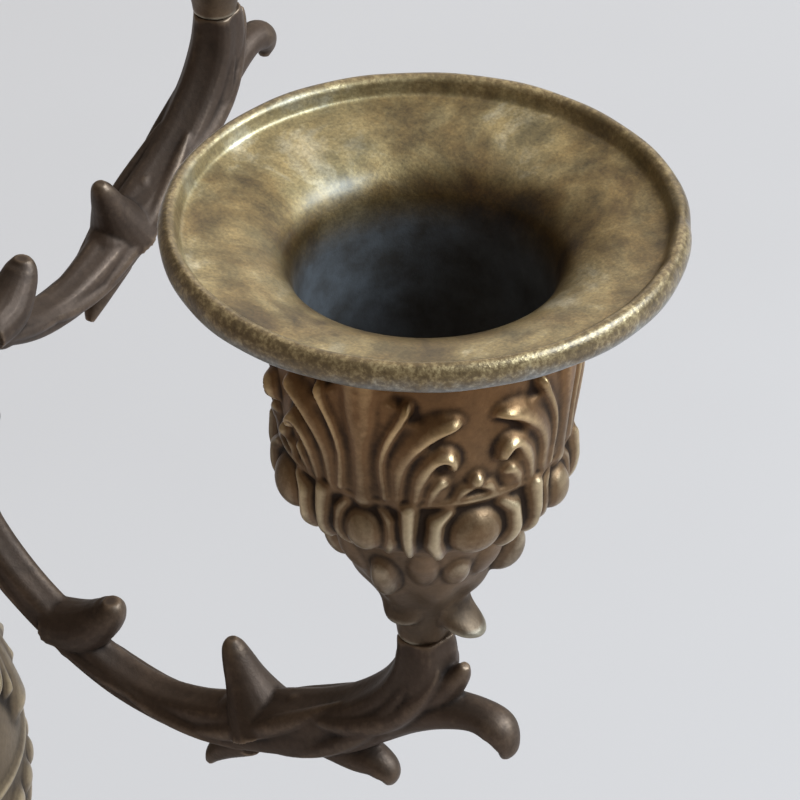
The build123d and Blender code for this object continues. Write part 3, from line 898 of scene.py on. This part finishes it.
class Nodes:
    """A short way to write a node tree."""

    def __init__(self, name):
        self.material = bpy.data.materials.new(name)
        self.material.use_nodes = True
        self.tree = self.material.node_tree
        self.shader = self.tree.nodes["Principled BSDF"]

    def add(self, kind, **settings):
        """A node. in_NAME or in_NUMBER sets or links an input, and any other name sets a property."""
        node = self.tree.nodes.new(kind)
        for key, value in settings.items():
            if key.startswith("in_"):
                socket = int(key[3:]) if key[3:].isdigit() else key[3:].replace("_", " ").title()
                self.feed(node.inputs[socket], value)
            else:
                setattr(node, key, value)
        return node

    def feed(self, socket, value):
        """Links a socket to another one, or sets its value."""
        if isinstance(value, bpy.types.NodeSocket):
            self.tree.links.new(value, socket)
        else:
            socket.default_value = value

    def shade(self, name, value):
        """Links or sets an input of the shader."""
        self.feed(self.shader.inputs[name], value)

    def math(self, operation, a, b=0.0, clamp=False):
        """A math node's result."""
        return self.add("ShaderNodeMath", operation=operation, use_clamp=clamp, in_0=a, in_1=b).outputs[0]

    def sway(self, value, amount):
        """A noise's swing about its middle, amount wide."""
        return self.math("MULTIPLY", self.math("SUBTRACT", value, 0.5), amount)

    def blend(self, a, share, b):
        """share of a and the rest of b."""
        return self.math("ADD", self.math("MULTIPLY", a, share), self.math("MULTIPLY", b, 1 - share))

    def noise(self, where, scale, detail=4.0, rough=0.55, distort=0.0):
        """Noise with scale features in a metre."""
        return self.add(
            "ShaderNodeTexNoise", in_vector=where, in_scale=scale, in_detail=detail, in_roughness=rough,
            in_distortion=distort,
        ).outputs["Fac"]

    def ramp(self, value, *stops):
        """A colour ramp of (place, colour or grey) stops."""
        node = self.add("ShaderNodeValToRGB", in_0=value)
        ramp = node.color_ramp
        while len(ramp.elements) < len(stops):
            ramp.elements.new(0.5)
        for element, (place, colour) in zip(ramp.elements, stops):
            element.position = place
            element.color = (*colour, 1) if isinstance(colour, tuple) else (colour, colour, colour, 1)
        return node.outputs["Color"]

    def mix(self, share, a, b, blend="MIX"):
        """Colour a with share of b blended over it."""
        node = self.add("ShaderNodeMix", data_type="RGBA", blend_type=blend)
        for index, value in ((0, share), (6, a), (7, b)):
            self.feed(node.inputs[index], (*value, 1) if isinstance(value, tuple) else value)
        return node.outputs[2]

    def bump(self, height, strength, distance, below=None):
        """A bump of distance metres at full height, on top of the bump below."""
        node = self.add("ShaderNodeBump", in_strength=strength, in_distance=distance, in_height=height)
        if below is not None:
            self.feed(node.inputs["Normal"], below)
        return node.outputs["Normal"]


def aged_metal(name, hollow, body, ridge, rough=(0.36, 0.62), metallic=0.75, down=None):
    """Old patinated brass: dark in the crevices, rubbed bright on the ridges, mottled and finely pitted.

    rough is the roughness on the ridges and in the crevices. down is a tint by height: (metres below
    the piece's origin that 1 stands for, colour stops from 0 to 1).
    """
    n = Nodes(name)
    where = n.add("ShaderNodeTexCoord").outputs["Object"]
    wear = n.add("ShaderNodeAttribute", attribute_name="wear").outputs["Fac"]
    cloud = n.noise(where, 170.0, 5.0, 0.6)
    grit = n.noise(where, 1500.0, 4.0, 0.65)
    fine = n.noise(where, 4200.0, 2.0, 0.5)
    worn = n.math("ADD", wear, n.sway(cloud, 0.30))
    worn = n.math("ADD", worn, n.sway(grit, 0.14))
    tone = n.ramp(worn, (0.20, hollow), (0.48, body), (0.60, body), (0.92, ridge))
    stain = n.ramp(n.noise(where, 95.0, 6.0, 0.62, 0.6), (0.34, 0.55), (0.64, 1.15))
    tone = n.mix(0.8, tone, stain, "MULTIPLY")
    speck = n.ramp(grit, (0.3, 0.8), (0.7, 1.16))
    tone = n.mix(0.6, tone, speck, "MULTIPLY")
    # a tint by height; on the cup it is a painted reflection, greyer and bluer lower down
    if down:
        length, stops = down
        z = n.add("ShaderNodeSeparateXYZ", in_0=where).outputs["Z"]
        tone = n.mix(1.0, tone, n.ramp(n.math("MULTIPLY", z, -1.0 / length), *stops), "MULTIPLY")
    n.shade("Base Color", tone)
    roughness = n.ramp(worn, (0.3, rough[1]), (0.75, rough[0]))
    n.shade("Roughness", n.math("ADD", roughness, n.sway(cloud, 0.25)))
    n.shade("Metallic", metallic)
    pitted = n.bump(grit, 0.3, 0.00012)
    n.shade("Normal", n.bump(fine, 0.2, 0.00005, pitted))
    return n.material


# where the pan's bead and the inside of its tube start, in metres, and how sharply, per metre
BEAD_STARTS = 0.0208
BEAD_SHARPNESS = 700.0
TUBE_INSIDE = 0.01166
TUBE_SHARPNESS = 2600.0
# how fast the bead turns to steel grey, and the pan darkens with painted shade towards the throat and then
# turns to soot, on the way down, per metre
STEEL_RATE = -520.0
SOOT_AND_SHADE_RATE = -120.0


def pan_metal():
    """The drip pan: worn brass, gritty and gold on the bead, grey under it, darker brown towards the throat
    as painted shade, and sooty in the throat.
    """
    n = Nodes("pan_brass")
    where = n.add("ShaderNodeTexCoord").outputs["Object"]
    x, y, z = n.add("ShaderNodeSeparateXYZ", in_0=where).outputs
    radius = n.math("SQRT", n.math("ADD", n.math("MULTIPLY", x, x), n.math("MULTIPLY", y, y)))
    cloud = n.noise(where, 105.0, 6.0, 0.64, 0.5)
    patch = n.noise(where, 300.0, 5.0, 0.6)
    grit = n.noise(where, 3300.0, 4.0, 0.6)
    fine = n.noise(where, 6400.0, 2.0, 0.5)
    uneven = n.math("SUBTRACT", patch, 0.5)
    beyond = n.math("MULTIPLY", n.math("SUBTRACT", radius, BEAD_STARTS), BEAD_SHARPNESS)
    on_bead = n.ramp(n.math("ADD", beyond, uneven), (0.0, 0.0), (1.0, 1.0))
    pan = n.ramp(
        cloud, (0.32, (0.080, 0.045, 0.014)), (0.44, (0.195, 0.130, 0.048)),
        (0.55, (0.30, 0.225, 0.102)), (0.70, (0.52, 0.46, 0.33)),
    )
    pan = n.mix(0.8, pan, n.ramp(patch, (0.30, 0.42), (0.66, 1.42)), "MULTIPLY")
    pan = n.mix(0.8, pan, n.ramp(grit, (0.3, 0.62), (0.7, 1.35)), "MULTIPLY")
    coarse = n.noise(where, 2000.0, 4.0, 0.65)
    gold = n.ramp(
        n.blend(patch, 0.4, coarse),
        (0.34, (0.065, 0.040, 0.016)), (0.50, (0.175, 0.116, 0.049)), (0.66, (0.45, 0.335, 0.165)),
    )
    steel = n.ramp(
        coarse, (0.32, (0.12, 0.112, 0.10)), (0.56, (0.22, 0.215, 0.20)), (0.72, (0.42, 0.42, 0.41)),
    )
    drop = n.math("ADD", n.math("MULTIPLY", z, STEEL_RATE), n.math("MULTIPLY", uneven, 2.2))
    bead = n.mix(n.ramp(drop, (0.0, 0.0), (0.7, 1.0)), gold, steel)
    depth = n.math("ADD", n.math("MULTIPLY", z, SOOT_AND_SHADE_RATE), n.math("MULTIPLY", uneven, 0.25))
    # soot lies only inside the tube, whose outer face is bare brass
    inside = n.math("MULTIPLY", n.math("SUBTRACT", TUBE_INSIDE, radius), TUBE_SHARPNESS, clamp=True)
    sooty = n.mix(1.0, n.ramp(depth, (0.40, 0.0), (0.95, 1.0)), inside, "MULTIPLY")
    # painted shade: the pan turns a darker brown on its way down into the throat
    throat_painted_shade = n.mix(1.0, pan, (0.34, 0.26, 0.16), "MULTIPLY")
    pan = n.mix(n.ramp(depth, (0.14, 0.0), (0.46, 1.0)), pan, throat_painted_shade)
    tone = n.mix(on_bead, pan, bead)
    soot = n.ramp(patch, (0.30, (0.030, 0.024, 0.019)), (0.70, (0.085, 0.086, 0.088)))
    tone = n.mix(sooty, tone, soot)
    n.shade("Base Color", tone)
    bare = n.ramp(sooty, (0.0, 0.9), (1.0, 0.1))
    dulled = n.ramp(on_bead, (0.0, 1.0), (1.0, 0.78))
    n.shade("Metallic", n.mix(1.0, bare, dulled, "MULTIPLY"))
    smooth_pan = n.ramp(patch, (0.3, 0.62), (0.7, 0.46))
    rough_bead = n.ramp(grit, (0.35, 0.50), (0.7, 0.30))
    n.shade("Roughness", n.mix(on_bead, smooth_pan, rough_bead))
    n.shade("Coat Weight", 0.6)
    n.shade("Coat Roughness", 0.33)
    strength = n.ramp(on_bead, (0.0, 0.22), (1.0, 0.5))
    pitted = n.bump(grit, strength, 0.00012)
    n.shade("Normal", n.bump(fine, 0.12, 0.00004, pitted))
    return n.material


def steel_metal(name, dark, light, rough):
    """Plain steel or iron with fine scratches and a few stains."""
    n = Nodes(name)
    where = n.add("ShaderNodeTexCoord").outputs["Object"]
    stain = n.noise(where, 300.0, 4.0)
    scratch = n.noise(where, 3000.0, 3.0)
    tone = n.ramp(n.blend(stain, 0.7, scratch), (0.35, dark), (0.65, light))
    n.shade("Base Color", tone)
    n.shade("Roughness", n.ramp(scratch, (0.3, rough - 0.1), (0.7, rough + 0.12)))
    n.shade("Metallic", 1.0)
    n.shade("Normal", n.bump(scratch, 0.2, 0.00005))
    return n.material


def felt_cloth():
    """Green baize: short matted fibres."""
    n = Nodes("baize")
    where = n.add("ShaderNodeTexCoord").outputs["Object"]
    fibre = n.noise(where, 2600.0, 6.0, 0.7, 1.2)
    cloud = n.noise(where, 120.0, 3.0)
    tone = n.ramp(n.blend(fibre, 0.7, cloud), (0.35, (0.012, 0.035, 0.018)), (0.65, (0.04, 0.1, 0.05)))
    n.shade("Base Color", tone)
    n.shade("Roughness", 0.95)
    n.shade("Sheen Weight", 0.4)
    n.shade("Normal", n.bump(fibre, 0.8, 0.0004))
    return n.material


def plain_floor():
    """Pale matt floor, warm enough to look neutral in the cool window light."""
    n = Nodes("studio_floor")
    where = n.add("ShaderNodeTexCoord").outputs["Object"]
    tone = n.ramp(n.noise(where, 6.0, 3.0), (0.3, (0.500, 0.455, 0.432)), (0.7, (0.520, 0.475, 0.452)))
    n.shade("Base Color", tone)
    n.shade("Roughness", 0.9)
    n.shade("Specular IOR Level", 0.1)
    return n.material


# ---- building

def dress(piece, material):
    """Gives a piece one material."""
    piece.data.materials.clear()
    piece.data.materials.append(material)


# the cup's gold-brown turns greyer and bluer on its way down, a painted reflection of the window light, and
# darker at the neck
CUP_PAINTED_REFLECTION_TINT = (
    (0.10, (1.0, 1.0, 1.0)), (0.50, (0.82, 1.02, 1.45)),
    (0.70, (0.88, 1.18, 1.95)), (0.92, (0.55, 0.76, 1.3)),
)
cup_brass = aged_metal(
    "cup_brass", (0.040, 0.017, 0.006), (0.215, 0.100, 0.034), (0.60, 0.365, 0.155), down=(0.045, CUP_PAINTED_REFLECTION_TINT),
)
arm_bronze = aged_metal(
    "arm_bronze", (0.022, 0.014, 0.010), (0.078, 0.050, 0.034), (0.23, 0.155, 0.10), rough=(0.46, 0.7),
)
stem_brass = aged_metal("stem_brass", (0.030, 0.018, 0.010), (0.15, 0.102, 0.058), (0.40, 0.30, 0.18))
pan_brass = pan_metal()
steel = steel_metal("turned_steel", (0.22, 0.21, 0.2), (0.42, 0.41, 0.4), 0.4)
iron = steel_metal("cast_iron", (0.03, 0.03, 0.03), (0.08, 0.078, 0.075), 0.65)

first_pan = bobeche_mesh()
first_cup = cup_mesh()
first_arm = arm_mesh()
dress(first_pan, pan_brass)
dress(first_cup, cup_brass)
dress(first_arm, arm_bronze)

places = {}
for name, turn in SIDES.items():
    angle = math.radians(turn)
    places[name] = (ARM_REACH * math.cos(angle), ARM_REACH * math.sin(angle), SIDE_RIM_Z, turn)
places["centre"] = (0.0, 0.0, CENTRE_RIM_Z, 0)
for name, (x, y, z, turn) in places.items():
    pan = first_pan if name == "right" else new_object("bobeche_" + name + "_turned", first_pan.data)
    cup = first_cup if name == "right" else new_object("cup_" + name + "_cast", first_cup.data)
    for piece in (pan, cup):
        piece.location = (x * MM, y * MM, z * MM)
        piece.rotation_euler = (0, 0, math.radians(turn))
    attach(pan, "pan_" + name)
    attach(cup, "stand")
    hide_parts("bobeche_" + name)
    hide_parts("cup_" + name)
for name, turn in SIDES.items():
    arm = first_arm if name == "right" else new_object("arm_" + name + "_cast", first_arm.data)
    arm.rotation_euler = (0, 0, math.radians(turn))
    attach(arm, "stand")
    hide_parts("arm_" + name)

STEM = (vase, neck, hub_collar, hub, hub_cap, centre_column, vase_foot, baluster, knop, base_collar, base)
for build in STEM:
    piece = build()
    dress(piece, stem_brass)
    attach(piece, "stand")
    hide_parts(piece["node"])

pad = felt()
dress(pad, felt_cloth())
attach(pad, "stand")
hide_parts("base_felt")

for node in ("tie_rod", "rod_nut", "rod_washer", "cup_nuts", "cup_washers", "arm_set_screws", "base_ballast"):
    dress(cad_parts[node], iron if node == "base_ballast" else steel)


# ---- studio and camera

HALF_FLOOR = 4000
corners = [(x * HALF_FLOOR, y * HALF_FLOOR, 0) for x, y in ((-1, -1), (1, -1), (1, 1), (-1, 1))]
floor = new_mesh("floor", corners, [(0, 1, 2, 3)], smooth=False)
floor.data.materials.append(plain_floor())


def softbox(name, place, aim, size, watts, colour):
    """A rectangular area light that faces the point aim."""
    light = bpy.data.lights.new(name, "AREA")
    light.shape = "RECTANGLE"
    light.size, light.size_y = size
    light.energy = watts
    light.color = colour
    lamp = new_object(name, light)
    lamp.location = place
    lamp.rotation_euler = (aim - place).to_track_quat("-Z", "Y").to_euler()


CAMERA_AZIMUTH = math.radians(33.0)
CAMERA_ELEVATION = math.radians(34.36)
CAMERA_DISTANCE = 0.450
LENS_MM = 235.2
SENSOR_MM = 36.0
# the camera is turned a little down and to the left of the line to the near pan's rim
TILT_DOWN = math.radians(1.903)
TURN_LEFT = math.radians(0.325)

target = Vector((ARM_REACH * MM, 0, SIDE_RIM_Z * MM))
right = Vector((math.cos(CAMERA_AZIMUTH), math.sin(CAMERA_AZIMUTH), 0))
away = Vector((-math.sin(CAMERA_AZIMUTH), math.cos(CAMERA_AZIMUTH), 0))
back = -away * math.cos(CAMERA_ELEVATION) + Vector((0, 0, math.sin(CAMERA_ELEVATION)))

camera = new_object("camera", bpy.data.cameras.new("camera"))
camera.location = target + back * CAMERA_DISTANCE
camera.rotation_euler = (math.pi / 2 - CAMERA_ELEVATION - TILT_DOWN, 0, CAMERA_AZIMUTH + TURN_LEFT)
camera.data.lens = LENS_MM
camera.data.sensor_width = SENSOR_MM
camera.data.clip_start = 0.01
bpy.context.scene.camera = camera

# (name, metres from the near pan to the right, away from the camera and up, size, watts, colour)
LIGHTS = (
    ("window", (1.4, -0.2, 1.2), (1.3, 0.95), 76, (0.68, 0.84, 1.0)),
    ("overhead", (0.0, 0.6, 2.2), (2.2, 2.2), 12, (1.0, 0.96, 0.90)),
    ("far_wall", (0.7, 2.0, 1.0), (2.6, 1.5), 13, (1.0, 0.95, 0.86)),
)
WORLD_COLOUR = (0.95, 0.88, 0.78, 1)
WORLD_STRENGTH = 0.31

for name, (to_right, to_back, up), size, watts, colour in LIGHTS:
    place = target + right * to_right + away * to_back + Vector((0, 0, up))
    softbox(name, place, target, size, watts, colour)

world = bpy.data.worlds.new("studio")
bpy.context.scene.world = world
world.use_nodes = True
background = world.node_tree.nodes["Background"]
background.inputs["Color"].default_value = WORLD_COLOUR
background.inputs["Strength"].default_value = WORLD_STRENGTH
bpy.context.scene.view_settings.view_transform = "Standard"
